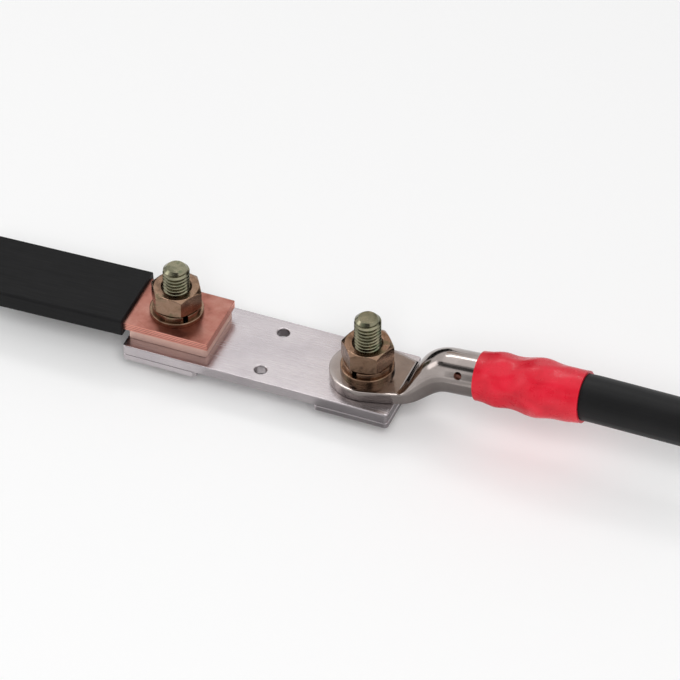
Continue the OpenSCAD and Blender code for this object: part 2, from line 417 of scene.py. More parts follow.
def put(name: str, data: bpy.types.ID) -> bpy.types.Object:
    """Put a mesh, a lamp or a camera into the scene.

    Args:
        name: Name of the new object.
        data: What the object shows or does.

    Returns:
        The new object.
    """
    made = bpy.data.objects.new(name, data)
    bpy.context.scene.collection.objects.link(made)
    return made


def ease(t: float) -> float:
    """Smooth step from 0 to 1."""
    return t * t * (3 - 2 * t)


def move(bm: Mesh, matrix: Matrix) -> None:
    """Move a whole mesh by a transform."""
    bmesh.ops.transform(bm, matrix=matrix, verts=bm.verts[:])


def turn_z(bm: Mesh, angle_deg: float) -> None:
    """Turn a whole mesh about Z by an angle in degrees."""
    move(bm, Matrix.Rotation(math.radians(angle_deg), 4, "Z"))


def face_out(bm: Mesh) -> None:
    """Turn all faces of a closed mesh outwards."""
    bmesh.ops.recalc_face_normals(bm, faces=bm.faces[:])


def close_up(bm: Mesh, nearness: float = 0.0005) -> None:
    """Merge vertices nearer than a distance in mm and turn all faces outwards."""
    bmesh.ops.remove_doubles(bm, verts=bm.verts[:], dist=nearness)
    face_out(bm)


def cut_across(bm: Mesh, place: Place, normal: Place, clear: bool = False) -> list[Edge]:
    """Cut a whole mesh at a plane.

    Args:
        bm: Mesh to cut.
        place: Point of the plane, in mm.
        normal: Normal of the plane.
        clear: Whether the side that the normal points to goes.

    Returns:
        The edges along the cut.
    """
    sliced = bmesh.ops.bisect_plane(
        bm, geom=bm.verts[:] + bm.edges[:] + bm.faces[:], dist=ON_CUT, plane_co=place,
        plane_no=normal, clear_outer=clear,
    )["geom_cut"]
    return [g for g in sliced if isinstance(g, Edge)]


def lathe(profile: Sequence[Pair], steps: int = 96, angle: float = TURN) -> Mesh:
    """Spin a closed profile about Z.

    Args:
        profile: Radius and height of each point, in mm.
        steps: Number of steps round the turn.
        angle: Angle of the spin.

    Returns:
        A closed mesh about the Z axis.
    """
    bm = bmesh.new()
    verts = [bm.verts.new((r, 0, z)) for r, z in profile]
    edges = [bm.edges.new(pair) for pair in zip(verts, [*verts[1:], verts[0]])]
    full = math.isclose(angle, TURN)
    bmesh.ops.spin(
        bm, geom=verts + edges, cent=(0, 0, 0), axis=(0, 0, 1), dvec=(0, 0, 0),
        angle=angle, steps=steps, use_merge=full, use_normal_flip=False, use_duplicate=False,
    )
    if not full:
        bmesh.ops.holes_fill(bm, edges=[e for e in bm.edges if e.is_boundary], sides=0)
    close_up(bm)
    return bm


def rounded_sheet(bm: Mesh, length: float, width: float, radius: float, steps: int) -> None:
    """Lay one flat face with rounded corners on the XY plane, centred.

    Args:
        bm: Mesh that takes the face.
        length: Size along X, in mm.
        width: Size along Y, in mm.
        radius: Corner radius, in mm.
        steps: Segments of each corner.
    """
    corners = bmesh.ops.create_grid(
        bm, x_segments=1, y_segments=1, size=0.5,
        matrix=Matrix.Diagonal((length, width, 1.0, 1.0)),
    )["verts"]
    bmesh.ops.bevel(
        bm, geom=corners, offset=radius, offset_type="OFFSET", segments=steps,
        profile=0.5, affect="VERTICES", material=-1,
    )


def pierce(bm: Mesh, holes: Iterable[Hole] = (), steps: int = 48) -> None:
    """Open holes in a flat face on the XY plane, and at outlines that lie within it.

    Args:
        bm: Mesh with that face and those outlines.
        holes: Round holes to open.
        steps: Segments of each round hole.
    """
    bmesh.ops.delete(bm, geom=bm.faces[:], context="FACES_ONLY")
    for hole in holes:
        bmesh.ops.create_circle(
            bm, cap_ends=False, radius=hole.radius, segments=steps,
            matrix=Matrix.Translation((hole.x, hole.y, 0)),
        )
    bmesh.ops.triangle_fill(
        bm, use_beauty=True, use_dissolve=False, edges=bm.edges[:], normal=(0, 0, 1)
    )


def pull(bm: Mesh, region: list[Face]) -> tuple[list[Face], list[Vert]]:
    """Extrude faces in place, ready to be moved.

    Args:
        bm: Mesh that holds the faces.
        region: Faces to extrude; they go if they would end up inside.

    Returns:
        The new faces and their vertices.
    """
    rim = list({edge for face in region for edge in face.edges})
    pulled = bmesh.ops.extrude_face_region(bm, geom=region + rim)["geom"]
    faces = [g for g in pulled if isinstance(g, Face)]
    verts = [g for g in pulled if isinstance(g, Vert)]
    return faces, verts


def thicken(bm: Mesh, height: float) -> None:
    """Pull all the flat faces of a mesh up along Z into a closed solid.

    Args:
        bm: Mesh on the XY plane.
        height: Height of the solid, in mm.
    """
    moved = pull(bm, bm.faces[:])[1]
    bmesh.ops.translate(bm, verts=moved, vec=(0, 0, height))
    face_out(bm)


def cut_plate(box: Box, radius: float, holes: Iterable[Hole], steps: int = 6) -> Mesh:
    """Cut a flat plate with rounded corners and round holes.

    Args:
        box: Box of the plate, centred on Y.
        radius: Corner radius, in mm.
        holes: Its holes.
        steps: Segments of each corner.

    Returns:
        A closed mesh with sharp edges.
    """
    bm = bmesh.new()
    rounded_sheet(bm, box.size.x, box.size.y, radius, steps)
    move(bm, Matrix.Translation((box.centre.x, 0, 0)))
    pierce(bm, holes)
    thicken(bm, box.size.z)
    move(bm, Matrix.Translation((0, 0, box.low.z)))
    return bm


def soften(
    bm: Mesh,
    width: float,
    segments: int = 3,
    over_deg: float = 40.0,
    clamp: bool = False,
    where: Callable[[Edge], bool] | None = None,
) -> None:
    """Round the edges at which faces meet sharply.

    Args:
        bm: Closed mesh.
        width: Width of the rounding, in mm.
        segments: Steps of the rounding.
        over_deg: Least angle between the faces, in degrees.
        clamp: Whether the width shrinks where roundings would run into each other.
        where: Optional test that an edge has to pass.
    """
    sharp = [
        e for e in bm.edges
        if len(e.link_faces) == 2
        and math.degrees(e.calc_face_angle(0)) > over_deg
        and (where is None or where(e))
    ]
    bmesh.ops.bevel(
        bm, geom=sharp, offset=width, offset_type="OFFSET", segments=segments,
        profile=0.5, affect="EDGES", clamp_overlap=clamp, material=-1,
    )


def sweep(bm: Mesh, places: Sequence[Matrix]) -> None:
    """Pull the flat section on the YZ plane along a row of places.

    Args:
        bm: Mesh whose faces are the section, with X as its normal.
        places: Transforms of the section, from the first to the last.
    """
    region = bm.faces[:]
    move(bm, places[0])
    for last, place in zip(places, places[1:]):
        region, verts = pull(bm, region)
        bmesh.ops.transform(bm, matrix=place @ last.inverted(), verts=verts)
    face_out(bm)


def combine(bm: Mesh, tool: Mesh, how: Joining) -> Mesh:
    """Make one closed mesh of two.

    Args:
        bm: First mesh, which is freed.
        tool: Mesh that is added or taken away, which is freed.
        how: Whether the second is added or taken away.

    Returns:
        The new mesh, with its many-sided faces split and slivers gone.
    """
    objects = []
    for part in (bm, tool):
        mesh = bpy.data.meshes.new("joining")
        part.to_mesh(mesh)
        part.free()
        objects.append(put("joining", mesh))
    body, other = objects
    boolean = body.modifiers.new("joining", "BOOLEAN")
    boolean.operation = how.value
    boolean.solver = "EXACT"
    boolean.object = other
    bpy.context.view_layer.update()
    result = bmesh.new()
    result.from_object(body, bpy.context.evaluated_depsgraph_get())
    for part in objects:
        mesh = part.data
        bpy.data.objects.remove(part)
        bpy.data.meshes.remove(mesh)
    bmesh.ops.triangulate(
        result, faces=[f for f in result.faces if len(f.verts) > 4], ngon_method="BEAUTY"
    )
    bmesh.ops.dissolve_degenerate(result, dist=SLIVER, edges=result.edges[:])
    return result


def make_piece(
    bm: Mesh,
    node: str,
    ending: str,
    finish: Finish,
    sharp_deg: float = 38.0,
    flat_faces: bool = True,
) -> None:
    """Turn a finished mesh in millimetres into the piece that stands for a node's solid.

    Args:
        bm: Finished mesh, which is freed.
        node: Node that the piece replaces.
        ending: What the piece's name adds to the node's.
        finish: Its finish.
        sharp_deg: Angle over which an edge is drawn sharp, in degrees.
        flat_faces: Whether the piece has flat faces whose shading stays flat to the edge.
    """
    name = f"{node}_{ending}"
    bmesh.ops.scale(bm, vec=(MM, MM, MM), verts=bm.verts[:])
    for face in bm.faces:
        face.smooth = True
    mesh = bpy.data.meshes.new(name)
    bm.to_mesh(mesh)
    bm.free()
    mesh.set_sharp_from_angle(angle=math.radians(sharp_deg))
    mesh.materials.append(finish.material())
    piece = put(name, mesh)
    if flat_faces:
        piece.modifiers.new("even shading", "WEIGHTED_NORMAL").keep_sharp = True
    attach(piece, BODY)
    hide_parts(node)
    log.info("%s: %d faces", name, len(mesh.polygons))


@dataclass
class LinkPlates:
    """The link plate and the two plates that back its ends, in mm."""

    corner_r: float = 1.5
    edge_r: float = 0.45
    bolt_hole_r: float = 5.5
    fix_hole_r: float = 2.25
    fix_span: float = 22.0

    def build(self) -> None:
        """Build the three plates."""
        bolts = [Box.of(f"{side.value}_flat_washer").centre.x for side in Side]
        holes = [Hole(x, 0.0, self.bolt_hole_r) for x in bolts]
        fixings = [Hole(0.0, s * self.fix_span / 2, self.fix_hole_r) for s in (-1, 1)]
        self.plate("link_plate", holes + fixings)
        for side, hole in zip(Side, holes):
            self.plate(f"{side.value}_backing_plate", [hole])

    def plate(self, node: str, holes: list[Hole]) -> None:
        """Build one plate with its holes and broken edges.

        Args:
            node: Node that the plate replaces.
            holes: Its holes.
        """
        bm = cut_plate(Box.of(node), self.corner_r, holes)
        soften(bm, self.edge_r)
        make_piece(bm, node, "tinned", PLATE_TIN)


@dataclass
class BoltSet:
    """One bolt with its flat washer, spring washer and nut, in mm."""

    side: Side
    nut_turn_deg: float
    split_deg: float
    head_turn_deg: float = 12.0
    across_flats: float = 17.0
    chamfer_share: float = 0.97
    chamfer_deg: float = 30.0
    chamfer_room: float = 1.0
    head_h: float = 6.4
    shank_r: float = 4.97
    pitch: float = 1.5
    thread_depth: float = 0.81
    # Shares of the thread's depth and pitch at each point of one ridge.
    thread_form: tuple[Pair, ...] = ((0, 0), (0, 0.25), (1, 0.56), (1, 0.69), (0, 1))
    thread_in_head: float = 1.0
    spare_turns: int = 2
    turn_steps: int = 40
    tip_chamfer: float = 1.5
    tip_least_r: float = 0.5
    nut_bore_r: float = 5.05
    nut_sink: float = 0.7
    washer_play: float = 0.2
    washer_top_r: float = 0.35
    washer_low_r: float = 0.12
    split_width_deg: float = 12.0
    edge_r: float = 0.22

    def __post_init__(self) -> None:
        """Read the bolt's axis from the frame."""
        self.x = self.box("flat_washer").centre.x

    def build(self) -> None:
        """Build the four pieces."""
        self.bolt()
        self.flat_washer()
        self.spring_washer()
        self.nut()

    def box(self, kind: str) -> Box:
        """Box of the node whose name ends in a kind of piece."""
        return Box.of(f"{self.side.value}_{kind}")

    def finish(self, bm: Mesh, kind: str) -> None:
        """Move a piece from the Z axis to the bolt and finish it in zinc.

        Args:
            bm: Mesh made about the Z axis.
            kind: Ending of the node's name.
        """
        move(bm, Matrix.Translation((self.x, 0, 0)))
        zinc = BOLT_ZINC if kind == "bolt" else NUT_ZINC
        make_piece(bm, f"{self.side.value}_{kind}", "zinc", zinc)

    def hexagon(self, low: float, high: float, bore: list[Pair]) -> Mesh:
        """Turn a hexagon blank whose corners are cut back by a cone at both ends.

        Args:
            low: Height of its lower face, in mm.
            high: Height of its upper face, in mm.
            bore: Radius and height of the points inside, from the top down.

        Returns:
            A closed mesh about the Z axis.
        """
        flat_r = self.chamfer_share * self.across_flats / 2
        corner_r = self.across_flats / math.sqrt(3)
        slope = math.tan(math.radians(self.chamfer_deg))
        outside = [
            (flat_r, low), (corner_r, low + self.chamfer_room),
            (corner_r, high - self.chamfer_room), (flat_r, high),
        ]
        bm = lathe(outside + bore)
        for vert in bm.verts:
            radius = vert.co.xy.length
            if radius < corner_r - NEAR:
                continue
            angle = math.atan2(vert.co.y, vert.co.x) % (TURN / 6) - TURN / 12
            reach = self.across_flats / 2 / math.cos(angle)
            vert.co.xy *= reach / radius
            drop = (reach - flat_r) * slope
            vert.co.z = low + drop if vert.co.z < (low + high) / 2 else high - drop
        soften(bm, self.edge_r, segments=2, over_deg=25, clamp=True)
        return bm

    def bolt(self) -> None:
        """Build the threaded bolt with its hexagon head."""
        box = self.box("bolt")
        seat = box.low.z + self.head_h
        head = self.hexagon(box.low.z, seat, [(0, seat), (0, box.low.z)])
        turn_z(head, self.head_turn_deg)
        shank = self.thread(seat - self.thread_in_head, box.high.z)
        self.finish(combine(shank, head, Joining.ADD), "bolt")

    def thread(self, low: float, high: float) -> Mesh:
        """Spin a helical thread, turn its tip to a cone and close its ends.

        Args:
            low: Height of the thread's start, in mm.
            high: Height of the bolt's tip, in mm.

        Returns:
            A closed mesh about the Z axis.
        """
        root_r = self.shank_r - self.thread_depth
        bm = bmesh.new()
        verts = [
            bm.verts.new((root_r + out * self.thread_depth, 0, low + (up - 1) * self.pitch))
            for out, up in self.thread_form
        ]
        edges = [bm.edges.new(pair) for pair in zip(verts, verts[1:])]
        turns = math.ceil((high - low) / self.pitch) + self.spare_turns
        bmesh.ops.spin(
            bm, geom=verts + edges, cent=(0, 0, 0), axis=(0, 0, 1),
            dvec=(0, 0, self.pitch / self.turn_steps), angle=TURN * turns,
            steps=self.turn_steps * turns, use_merge=False, use_duplicate=False,
        )
        close_up(bm)
        for vert in bm.verts:
            cone_r = self.shank_r - max(0.0, vert.co.z - (high - self.tip_chamfer))
            limit = max(cone_r, self.tip_least_r)
            radius = vert.co.xy.length
            if radius > limit:
                vert.co.xy *= limit / radius
        for height, up in ((low, -1), (high, 1)):
            rim = cut_across(bm, (0, 0, height), (0, 0, up), clear=True)
            bmesh.ops.edgeloop_fill(bm, edges=rim)
        face_out(bm)
        return bm

    def ring(self, box: Box, outer_r: float, angle: float = TURN) -> Mesh:
        """Turn a flat ring that goes round the bolt.

        Args:
            box: Box of the ring's node.
            outer_r: Outer radius, in mm.
            angle: How far round the ring goes.

        Returns:
            A closed mesh about the Z axis.
        """
        inner_r = self.nut_bore_r + self.washer_play
        low, high = box.low.z, box.high.z
        profile = [(inner_r, low), (outer_r, low), (outer_r, high), (inner_r, high)]
        return lathe(profile, angle=angle)

    def flat_washer(self) -> None:
        """Build the stamped washer: rounded on its upper edge, sharper below."""
        box = self.box("flat_washer")
        bm = self.ring(box, box.size.x / 2)
        soften(bm, self.washer_top_r, where=lambda e: e.verts[0].co.z > box.centre.z)
        soften(bm, self.washer_low_r, segments=2, over_deg=60)
        self.finish(bm, "flat_washer")

    def spring_washer(self) -> None:
        """Build the split ring, pressed flat under the nut."""
        box = self.box("spring_washer")
        bm = self.ring(box, box.size.y / 2, TURN - math.radians(self.split_width_deg))
        turn_z(bm, self.split_deg)
        soften(bm, self.edge_r, segments=2)
        self.finish(bm, "spring_washer")

    def nut(self) -> None:
        """Build the nut with its chamfered corners and countersunk bore."""
        box = self.box("nut")
        low, high = box.low.z, box.high.z
        sunk_r = self.nut_bore_r + self.nut_sink
        bm = self.hexagon(low, high, [
            (sunk_r, high), (self.nut_bore_r, high - self.nut_sink),
            (self.nut_bore_r, low + self.nut_sink), (sunk_r, low),
        ])
        turn_z(bm, self.nut_turn_deg)
        self.finish(bm, "nut")


@dataclass
class FlatBar:
    """The flat bar: copper strips in a black covering, on a packing plate, in mm."""

    strips: int = 4
    strip_t: float = 0.8
    strip_corner_r: float = 0.4
    strip_corner_steps: int = 3
    strip_edge_r: float = 0.22
    # Faces whose normal rises less than this were cut by the shears; they are painted lighter,
    # partly as fresh copper and partly as a painted highlight.
    sheared_and_highlight_rise: float = 0.5
    lean_deg: float = 1.9
    lean_r: float = 40.0
    lean_from: float = 0.5
    # Shares of the bend at which the strips are divided, so that they can follow it.
    lean_cuts: tuple[float, ...] = (0.0, 0.33, 0.67, 1.0)
    cover_start: float = 0.3
    cover_l: float = 63.0
    cover_wall: float = 2.0
    cover_r: float = 1.2
    cover_steps: int = 6
    cover_inner_r: float = 0.05
    cover_inner_steps: int = 1
    cover_edge_r: float = 0.25
    clearance: float = 0.05
    bolt_hole_r: float = 5.5
    pack_corner_r: float = 1.0
    pack_edge_r: float = 0.3

    def __post_init__(self) -> None:
        """Read the bar's place from the frame."""
        self.bolt_hole = Hole(Box.of("bar_side_flat_washer").centre.x, 0.0, self.bolt_hole_r)
        self.lean = math.radians(self.lean_deg)
        self.arc = self.lean_r * self.lean
        self.lean_x = Box.of("link_plate").low.x + self.lean_from
        self.low = Box.of("bar_packing_plate").high.z
        self.stack_t = self.strips * self.strip_t
        self.lean_z = self.low + self.stack_t / 2 - self.lean_r

    def build(self) -> None:
        """Build the strips, the packing plate and the covering."""
        for i in range(self.strips):
            self.strip(i)
        self.packing_plate()
        self.cover()

    def bend(self, place: Vector) -> Vector:
        """Bring a point of the straight bar to its place on the leaning one.

        Args:
            place: Point on the straight bar, in mm.

        Returns:
            The same point after the short bend.
        """
        run = self.lean_x - place.x
        if run <= 0:
            return place
        angle = min(run / self.lean_r, self.lean)
        past = run - self.lean_r * angle
        radius = place.z - self.lean_z
        return Vector((
            self.lean_x - radius * math.sin(angle) - past * math.cos(angle),
            place.y,
            self.lean_z + radius * math.cos(angle) - past * math.sin(angle),
        ))

    def strip(self, i: int) -> None:
        """Build one copper strip straight, mark its cut faces for the lighter colour and painted
        highlight, and bend it.

        Args:
            i: Its place in the stack, from the bottom.
        """
        node = f"bar_strip_{i + 1}"
        box = Box.of(node)
        left = self.lean_x - self.arc - self.cover_start - self.cover_l
        low = self.low + i * self.strip_t
        straight = Box(
            Vector((left, box.low.y, low)), Vector((box.high.x, box.high.y, low + self.strip_t))
        )
        bm = cut_plate(straight, self.strip_corner_r, [self.bolt_hole], self.strip_corner_steps)
        soften(bm, self.strip_edge_r, over_deg=60)
        bm.normal_update()
        sheared_and_highlight = bm.faces.layers.float.new(SHEARED_AND_HIGHLIGHT)
        for face in bm.faces:
            face[sheared_and_highlight] = float(abs(face.normal.z) < self.sheared_and_highlight_rise)
        for share in self.lean_cuts:
            cut_across(bm, (self.lean_x - share * self.arc, 0, 0), (1, 0, 0))
        for vert in bm.verts:
            vert.co = self.bend(vert.co)
        make_piece(bm, node, "copper", COPPER)

    def packing_plate(self) -> None:
        """Build the copper plate under the strips."""
        node = "bar_packing_plate"
        bm = cut_plate(Box.of(node), self.pack_corner_r, [self.bolt_hole])
        soften(bm, self.pack_edge_r)
        make_piece(bm, node, "copper", CLEAN_COPPER)

    def cover(self) -> None:
        """Build the covering: a flat tube, cut square at both ends."""
        width = Box.of("bar_strip_1").size.y
        bm = bmesh.new()
        for wall, radius, steps in (
            (self.cover_wall, self.cover_r, self.cover_steps),
            (self.clearance, self.cover_inner_r, self.cover_inner_steps),
        ):
            rounded_sheet(bm, self.stack_t + 2 * wall, width + 2 * wall, radius, steps)
        pierce(bm)
        thicken(bm, self.cover_l)
        soften(bm, self.cover_edge_r, over_deg=60)
        move(
            bm,
            Matrix.Translation((self.lean_x, 0, self.lean_z))
            @ Matrix.Rotation(-self.lean, 4, "Y")
            @ Matrix.Translation((-self.cover_start, 0, self.lean_r))
            @ Matrix.Rotation(-TURN / 4, 4, "Y"),
        )
        make_piece(bm, "bar_cover", "pvc", COVER_PVC)


class Section(NamedTuple):
    """One section of the lug: middle and slope in its XZ plane, half sizes, squareness."""

    middle: Vector
    slope: float
    half_w: float
    half_h: float
    square: float


class Swell(NamedTuple):
    """One swell of the sleeve: height in mm, middle and spread as shares of its length."""

    height: float
    middle: float
    spread: float


class Fold(NamedTuple):
    """One set of folds of the sleeve: depth in mm, count round it, twist and start angle."""

    depth: float
    count: int
    twist: float
    start: float


@dataclass
class LuggedCable:
    """The lug, its sleeve and the stranded cable, in mm."""

    palm_w: float = 28.0
    palm_end_w: float = 21.0
    palm_t: float = 4.4
    palm_past_link: float = 0.3
    palm_square: float = 18.0
    # Shares of the palm's straight sides that get a section.
    palm_shares: tuple[float, ...] = (0.35, 0.7)
    eye_from_deg: float = 3.0
    eye_steps: int = 24
    neck_l: float = 18.5
    # Shares of the neck's length over which its curve leaves the palm and meets the barrel.
    neck_pulls: Pair = (0.4, 0.52)
    neck_taper: float = 1.2
    neck_taper_fade: int = 4
    neck_steps: int = 28
    barrel_z: float = 14.0
    barrel_r: float = 8.2
    barrel_wall: float = 2.2
    barrel_l: float = 30.0
    barrel_runs: tuple[float, ...] = (3.0, 6.0, 10.0)
    lean_deg: float = 4.5
    bore_from: float = 1.5
    peep_r: float = 1.5
    peep_at: float = 4.6
    peep_turn_deg: float = 60.0
    crimp_share: float = 0.75
    crimp_w: float = 5.0
    crimp_in: float = 0.6
    bolt_hole_r: float = 5.5
    ring_steps: int = 72
    drill_steps: int = 40
    sleeve_from: float = 10.5
    sleeve_l: float = 40.5
    sleeve_wall: float = 0.9
    sleeve_rings: int = 60
    sleeve_steps: int = 120
    swells: tuple[Swell, ...] = (
        Swell(1.05, 0.2, 0.11), Swell(1.75, 0.56, 0.16), Swell(0.45, 0.84, 0.12),
    )
    folds: tuple[Fold, ...] = (
        Fold(0.22, 3, 5.0, 0.0), Fold(0.16, 5, -9.0, 1.3), Fold(0.1, 9, 16.0, 0.4),
    )
    # The folds die out towards the sleeve's ends by this power of a half wave.
    fold_fade: float = 0.6
    fold_in: float = 0.1
    cable_r: float = 8.6
    cable_l: float = 43.0
    jacket_gap: float = 0.8
    jacket_edge_r: float = 0.3
    bend_past_sleeve: float = 0.5
    bend_r: float = 70.0
    bend_steps: int = 6
    clearance: float = 0.05
    end_gap: float = 0.4
    strand_rings: tuple[int, ...] = (1, 6, 12)
    strand_gap: float = 0.02
    strand_sides: int = 12
    lay_length: float = 160.0
    lay_steps: int = 48

    def __post_init__(self) -> None:
        """Read the lug's place from the frame and work out the lines that it follows."""
        link = Box.of("link_plate")
        bolt_x = Box.of("cable_side_flat_washer").centre.x
        self.palm = Matrix.Translation((bolt_x, 0, link.high.z))
        self.palm_flat = link.high.x - bolt_x + self.palm_past_link
        self.neck_end = self.palm_flat + self.neck_l
        self.lean = math.radians(self.lean_deg)
        self.along = Vector((math.cos(self.lean), math.sin(self.lean)))
        self.barrel = (
            self.palm @ Matrix.Translation((self.neck_end, 0, self.barrel_z))
            @ Matrix.Rotation(-self.lean, 4, "Y")
        )
        self.bore_r = self.barrel_r - self.barrel_wall
        self.core_r = self.bore_r - self.clearance
        self.jacket_from = self.barrel_l + self.jacket_gap
        self.bend_at = self.sleeve_from + self.sleeve_l + self.bend_past_sleeve
        self.bend_end = self.bend_at + self.bend_r * self.lean
        # Lays along X what is made about Z.
        self.lay_down = Matrix.Rotation(TURN / 4, 4, "Y")

    def build(self) -> None:
        """Build the lug, the conductor, the jacket and the sleeve."""
        self.lug()
        self.core()
        self.jacket()
        self.sleeve()

    def eye_touch(self) -> float:
        """Angle at which the palm's straight sides touch its round end."""
        half, flat = self.palm_end_w / 2, self.palm_flat
        return math.atan2(half, flat) + math.acos(self.palm_w / 2 / math.hypot(flat, half))

    def palm_sections(self) -> list[Section]:
        """Sections of the palm, round its eye and along its straight sides.

        Returns:
            The sections from the palm's end to the neck.
        """
        eye_r = self.palm_w / 2
        start = math.pi - math.radians(self.eye_from_deg)
        step = (start - self.eye_touch()) / self.eye_steps
        angles = [start - step * i for i in range(self.eye_steps + 1)]
        edge = [eye_r * Vector((math.cos(a), math.sin(a))) for a in angles]
        end = Vector((self.palm_flat, self.palm_end_w / 2))
        edge += [edge[-1].lerp(end, share) for share in self.palm_shares]
        level = self.palm_t / 2
        return [Section(Vector((p.x, level)), 0.0, p.y, level, self.palm_square) for p in edge]

    def neck_line(self, t: float) -> tuple[Vector, float]:
        """Point and slope of the neck's middle line.

        Args:
            t: Share of the way from the palm to the barrel.

        Returns:
            The point in the lug's XZ plane, as a 2D vector, and the angle of the line.
        """
        a = Vector((self.palm_flat, self.palm_t / 2))
        d = Vector((self.neck_end, self.barrel_z))
        b = a + self.neck_pulls[0] * self.neck_l * Vector((1, 0))
        c = d - self.neck_pulls[1] * self.neck_l * self.along
        s = 1 - t
        point = s ** 3 * a + 3 * t * s * s * b + 3 * t * t * s * c + t ** 3 * d
        slope = s * s * (b - a) + 2 * t * s * (c - b) + t * t * (d - c)
        return point, math.atan2(slope.y, slope.x)

    def neck_sections(self) -> list[Section]:
        """Sections of the neck, from the palm's flat oblong to the barrel's circle.

        Returns:
            The sections from the palm to the barrel.
        """
        made = []
        half, level = self.palm_end_w / 2, self.palm_t / 2
        taper = -self.neck_taper * self.neck_l / math.tan(self.eye_touch())
        for i in range(self.neck_steps + 1):
            t = i / self.neck_steps
            grown = ease(t)
            half_w = half + (self.barrel_r - half) * grown
            half_w += taper * t * (1 - t) ** self.neck_taper_fade
            half_h = level + (self.barrel_r - level) * grown
            flat = (1 - ease(math.sqrt(t))) ** 2
            square = ROUND + (self.palm_square - ROUND) * flat
            made.append(Section(*self.neck_line(t), half_w, half_h, square))
        return made

    def barrel_sections(self) -> list[Section]:
        """Sections of the barrel, with its crimp.

        Returns:
            The sections from the neck to the barrel's mouth.
        """
        low = self.crimp_share * self.barrel_l - self.crimp_w / 2
        high = low + self.crimp_w
        rings = [(run, 0.0) for run in (*self.barrel_runs, low)]
        rings += [(run, self.crimp_in) for run in (low + self.crimp_in, high - self.crimp_in)]
        rings += [(run, 0.0) for run in (high, self.barrel_l)]
        start = Vector((self.neck_end, self.barrel_z))
        return [
            Section(start + self.along * run, self.lean, self.barrel_r - sunk,
                    self.barrel_r - sunk, ROUND)
            for run, sunk in rings
        ]

    def lug(self) -> None:
        """Press the lug: a ring pulled from section to section, bored and drilled."""
        bm = bmesh.new()
        turn = bm.verts.layers.float.new("turn")
        ring = bmesh.ops.create_circle(
            bm, cap_ends=True, radius=1, segments=self.ring_steps
        )["verts"]
        for vert in ring:
            vert[turn] = math.atan2(vert.co.y, vert.co.x)
        region = bm.faces[:]
        sections = [*self.palm_sections(), *self.neck_sections(), *self.barrel_sections()]
        for i, section in enumerate(sections):
            if i:
                region, ring = pull(bm, region)
            power = ROUND / section.square
            for vert in ring:
                y, z = math.cos(vert[turn]), math.sin(vert[turn])
                y = math.copysign(abs(y) ** power, y) * section.half_w
                z = math.copysign(abs(z) ** power, z) * section.half_h
                vert.co = (
                    section.middle.x - z * math.sin(section.slope), y,
                    section.middle.y + z * math.cos(section.slope),
                )
        bmesh.ops.inset_region(
            bm, faces=region, thickness=self.barrel_wall, use_even_offset=True
        )
        bore = (self.bore_from - self.barrel_l) * self.along
        bmesh.ops.translate(bm, verts=pull(bm, region)[1], vec=(bore.x, 0, bore.y))
        face_out(bm)
        move(bm, self.palm)
        bolt_hole = self.palm @ Matrix.Translation((0, 0, self.palm_t / 2))
        peep_hole = (
            self.barrel @ Matrix.Translation((self.peep_at, 0, 0))
            @ Matrix.Rotation(math.radians(self.peep_turn_deg), 4, "X")
            @ Matrix.Translation((0, 0, self.barrel_r - self.barrel_wall / 2))
        )
        for radius, depth, place in (
            (self.bolt_hole_r, 4 * self.palm_t, bolt_hole),
            (self.peep_r, 2 * self.barrel_wall, peep_hole),
        ):
            drill = bmesh.new()
            bmesh.ops.create_cone(
                drill, cap_ends=True, segments=self.drill_steps, radius1=radius,
                radius2=radius, depth=depth, matrix=place,
            )
            bm = combine(bm, drill, Joining.CUT)
        make_piece(bm, "cable_lug", "tinned", LUG_TIN, sharp_deg=50, flat_faces=False)

    def cable_place(self, run: float) -> Matrix:
        """Place on the cable's line.

        Args:
            run: Distance from the neck's end, in mm.

        Returns:
            Transform that puts X along the cable.
        """
        if run <= self.bend_at:
            return self.barrel @ Matrix.Translation((run, 0, 0))
        angle = min((run - self.bend_at) / self.bend_r, self.lean)
        past = max(0.0, run - self.bend_end)
        return (
            self.barrel @ Matrix.Translation((self.bend_at, 0, -self.bend_r))
            @ Matrix.Rotation(angle, 4, "Y") @ Matrix.Translation((past, 0, self.bend_r))
        )

    def jacket(self) -> None:
        """Pull the jacket's ring along the cable."""
        bm = bmesh.new()
        for radius in (self.cable_r, self.core_r + self.clearance):
            bmesh.ops.create_circle(
                bm, cap_ends=False, radius=radius, segments=self.ring_steps, matrix=self.lay_down
            )
        bmesh.ops.bridge_loops(bm, edges=bm.edges[:])
        step = (self.bend_end - self.bend_at) / self.bend_steps
        bends = [self.bend_at + step * i for i in range(self.bend_steps + 1)]
        runs = [self.jacket_from, *bends, self.bend_end + self.cable_l]
        sweep(bm, [self.cable_place(run) for run in runs])
        soften(bm, self.jacket_edge_r, over_deg=60)
        make_piece(bm, "cable_jacket", "pvc", CABLE_PVC)

    def core(self) -> None:
        """Lay the conductor's strands in rings and twist them along the cable."""
        pitch_r = self.core_r / (2 * len(self.strand_rings) - 1)
        bm = bmesh.new()
        for ring, count in enumerate(self.strand_rings):
            for i in range(count):
                place = (
                    Matrix.Rotation(TURN * i / count, 4, "X")
                    @ Matrix.Translation((0, 0, 2 * pitch_r * ring)) @ self.lay_down
                )
                bmesh.ops.create_circle(
                    bm, cap_ends=True, radius=pitch_r - self.strand_gap / 2,
                    segments=self.strand_sides, matrix=place,
                )
        start = self.bore_from + self.end_gap
        step = (self.bend_end + self.cable_l - start) / self.lay_steps
        runs = [start + step * i for i in range(self.lay_steps + 1)]
        sweep(bm, [
            self.cable_place(run) @ Matrix.Rotation(TURN * run / self.lay_length, 4, "X")
            for run in runs
        ])
        make_piece(bm, "cable_core", "strands", COPPER)

